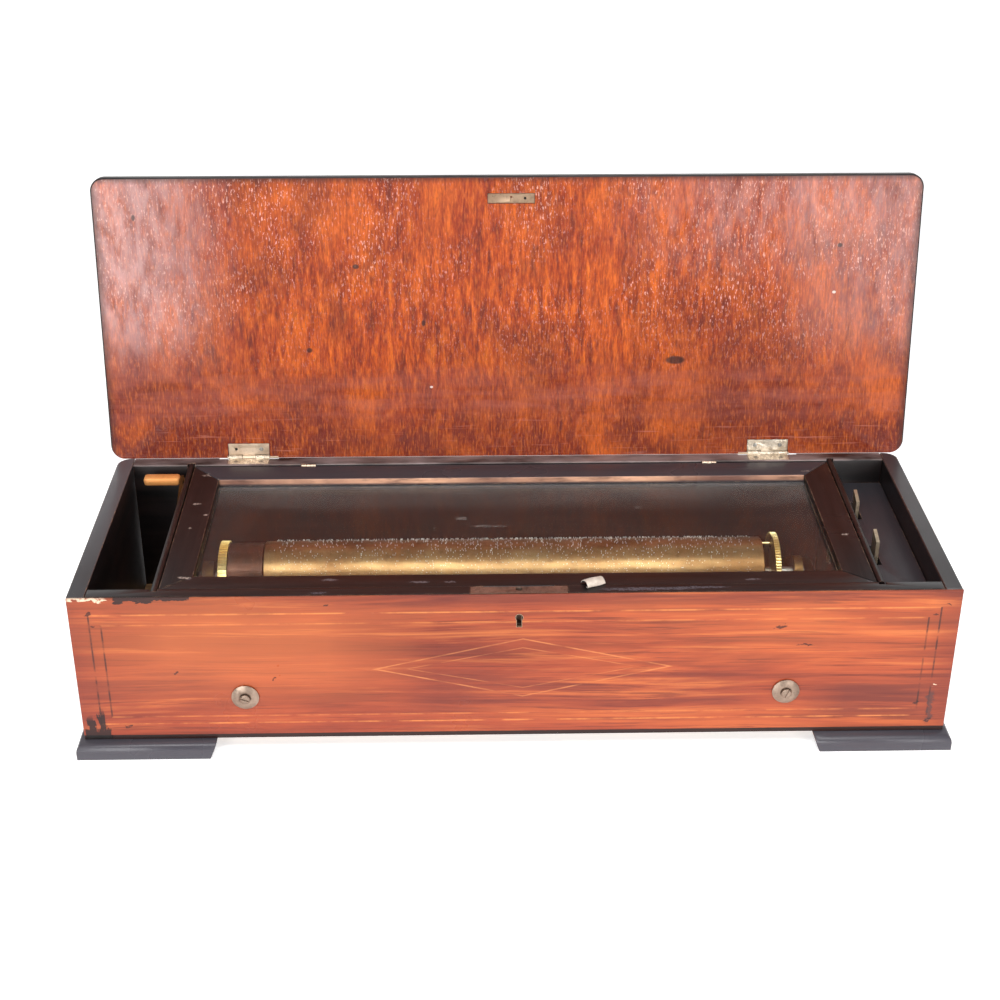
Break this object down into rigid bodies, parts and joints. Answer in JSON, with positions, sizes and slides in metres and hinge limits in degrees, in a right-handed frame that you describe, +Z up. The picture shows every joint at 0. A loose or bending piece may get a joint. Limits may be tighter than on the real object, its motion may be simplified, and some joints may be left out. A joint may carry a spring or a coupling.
{
  "type": "cylinder music box",
  "caption": "Lever-wound cylinder music box with hinged lid, glazed inner lid, comb, governor and control levers in a veneered case.",
  "frame": {"origin": "bottom centre of the box that holds the whole object as it stands with its lid open, on the ground plane under the feet", "axes": "+X to the right along the case's length, +Y from the front to the back, +Z up"},
  "size_m": [0.571, 0.2386, 0.317],
  "materials": {
    "ebonised_wood": "black stained and polished",
    "veneer": "red-brown striped veneer, polished",
    "stained_wood": "red-brown stained",
    "lid_wood": "red polished mahogany",
    "bare_wood": "unfinished",
    "brass": "satin",
    "bright_brass": "polished",
    "hinge_metal": "worn pale brass",
    "steel": "satin",
    "blued_steel": "tempered brown",
    "washer_metal": "dull brown",
    "gilt_iron": "bronzed",
    "glass": "clear",
    "ribbon": "woven ribbon"
  },
  "bodies": {
    "case": {"case_front_panel": "ebonised_wood", "front_veneer": "veneer", "case_back_panel": "ebonised_wood", "case_end_left": "stained_wood", "case_end_right": "stained_wood", "case_bottom": "bare_wood", "foot_front_left": "ebonised_wood", "foot_front_right": "ebonised_wood", "foot_back_left": "ebonised_wood", "foot_back_right": "ebonised_wood", "winding_partition": "ebonised_wood", "control_partition": "ebonised_wood", "control_floor": "ebonised_wood", "glass_lid_rest": "ebonised_wood", "lock_case": "steel", "lid_hinge_left_case_leaf": "hinge_metal", "lid_hinge_left_pin": "hinge_metal", "lid_hinge_right_case_leaf": "hinge_metal", "lid_hinge_right_pin": "hinge_metal", "glass_hinge_left_wall_leaf": "brass", "glass_hinge_right_wall_leaf": "brass", "bedplate": "gilt_iron", "bedplate_bolt_left": "washer_metal", "bedplate_bolt_right": "washer_metal", "bolt_washer_left": "washer_metal", "bolt_washer_right": "washer_metal", "barrel_bridge": "brass", "cylinder_bridge": "brass", "comb": "steel", "comb_base": "brass", "governor_frame": "brass"},
    "lid": {"lid_board": "lid_wood", "lid_catch_plate": "hinge_metal", "lid_hinge_left_lid_leaf": "hinge_metal", "lid_hinge_right_lid_leaf": "hinge_metal"},
    "glass_lid": {"glass_frame_front_rail": "ebonised_wood", "glass_frame_back_rail": "ebonised_wood", "glass_frame_left_stile": "ebonised_wood", "glass_frame_right_stile": "ebonised_wood", "glass_pane": "glass", "glass_hinge_left_frame_leaf": "brass", "glass_hinge_right_frame_leaf": "brass", "pull_tab": "ribbon"},
    "bolt": {"lock_bolt": "steel"},
    "lever": {"winding_lever": "brass", "winding_handle": "bright_brass"},
    "winding_work": {"winding_arbor": "steel", "ratchet_wheel": "bright_brass"},
    "click": {"ratchet_click": "blued_steel"},
    "drive": {"spring_barrel": "steel", "mainspring": "blued_steel", "cylinder_arbor": "steel", "great_wheel": "brass"},
    "cylinder": {"pinned_cylinder": "bright_brass"},
    "snail": {"tune_snail": "steel"},
    "first_arbor": {"governor_first_arbor": "brass"},
    "second_arbor": {"governor_second_arbor": "brass"},
    "fan": {"fan_spindle": "steel"},
    "start_stop": {"start_stop_lever": "hinge_metal"},
    "repeat": {"repeat_lever": "hinge_metal"}
  },
  "joints": [
    {"name": "lid_close", "type": "hinge", "parent": "case", "child": "lid", "pos_m": [0, 0.07992, 0.1188], "axis": [1, 0, 0], "range_deg": [0, 98.4]},
    {"name": "glass_lid_lift", "type": "hinge", "parent": "case", "child": "glass_lid", "pos_m": [0, 0.06832, 0.1173], "axis": [1, 0, 0], "range_deg": [-95, 0]},
    {"name": "lock_bolt_throw", "type": "slide", "parent": "case", "child": "bolt", "axis": [1, 0, 0], "range_m": [0, 0.0045]},
    {"name": "winding_lever_swing", "type": "hinge", "parent": "case", "child": "lever", "pos_m": [-0.2327, -0.02398, 0.08035], "axis": [-1, 0, 0], "range_deg": [-118, 0]},
    {"name": "winding_arbor_turn", "type": "hinge", "parent": "case", "child": "winding_work", "pos_m": [-0.2327, -0.02398, 0.08035], "axis": [-1, 0, 0], "continuous": true},
    {"name": "click_lift", "type": "hinge", "parent": "case", "child": "click", "pos_m": [-0.1965, 0.00168, 0.06368], "axis": [1, 0, 0], "range_deg": [0, 8], "stiffness_Nm_per_rad": 0.01, "springref_deg": -20.05},
    {"name": "cylinder_spin", "type": "hinge", "parent": "case", "child": "drive", "pos_m": [0, -0.02398, 0.08035], "axis": [-1, 0, 0], "continuous": true},
    {"name": "cylinder_shift", "type": "slide", "parent": "drive", "child": "cylinder", "axis": [1, 0, 0], "range_m": [0, 0.0021]},
    {"name": "tune_snail_turn", "type": "hinge", "parent": "drive", "child": "snail", "pos_m": [0.1749, -0.02398, 0.06635], "axis": [1, 0, 0], "range_deg": [0, 300]},
    {"name": "first_arbor_spin", "type": "hinge", "parent": "case", "child": "first_arbor", "pos_m": [0.181, -0.05226, 0.07006], "axis": [-1, 0, 0], "continuous": true},
    {"name": "second_arbor_spin", "type": "hinge", "parent": "case", "child": "second_arbor", "pos_m": [0.181, -0.06405, 0.07321], "axis": [-1, 0, 0], "continuous": true},
    {"name": "fan_spin", "type": "hinge", "parent": "case", "child": "fan", "pos_m": [0.191, -0.07255, 0.05085], "axis": [0, 0, 1], "continuous": true},
    {"name": "start_stop_swing", "type": "hinge", "parent": "case", "child": "start_stop", "pos_m": [0.2408, 0.02692, 0.0728], "axis": [1, 0, 0], "range_deg": [-12, 12]},
    {"name": "repeat_swing", "type": "hinge", "parent": "case", "child": "repeat", "pos_m": [0.2408, -0.03558, 0.0728], "axis": [1, 0, 0], "range_deg": [-12, 12]}
  ],
  "couplings": [
    {"joint": "tune_snail_turn", "follows": "cylinder_shift", "rad_per_m": 2493.3},
    {"joint": "first_arbor_spin", "follows": "cylinder_spin", "ratio": -6.6667},
    {"joint": "second_arbor_spin", "follows": "cylinder_spin", "ratio": 20},
    {"joint": "fan_spin", "follows": "cylinder_spin", "ratio": -200}
  ]
}
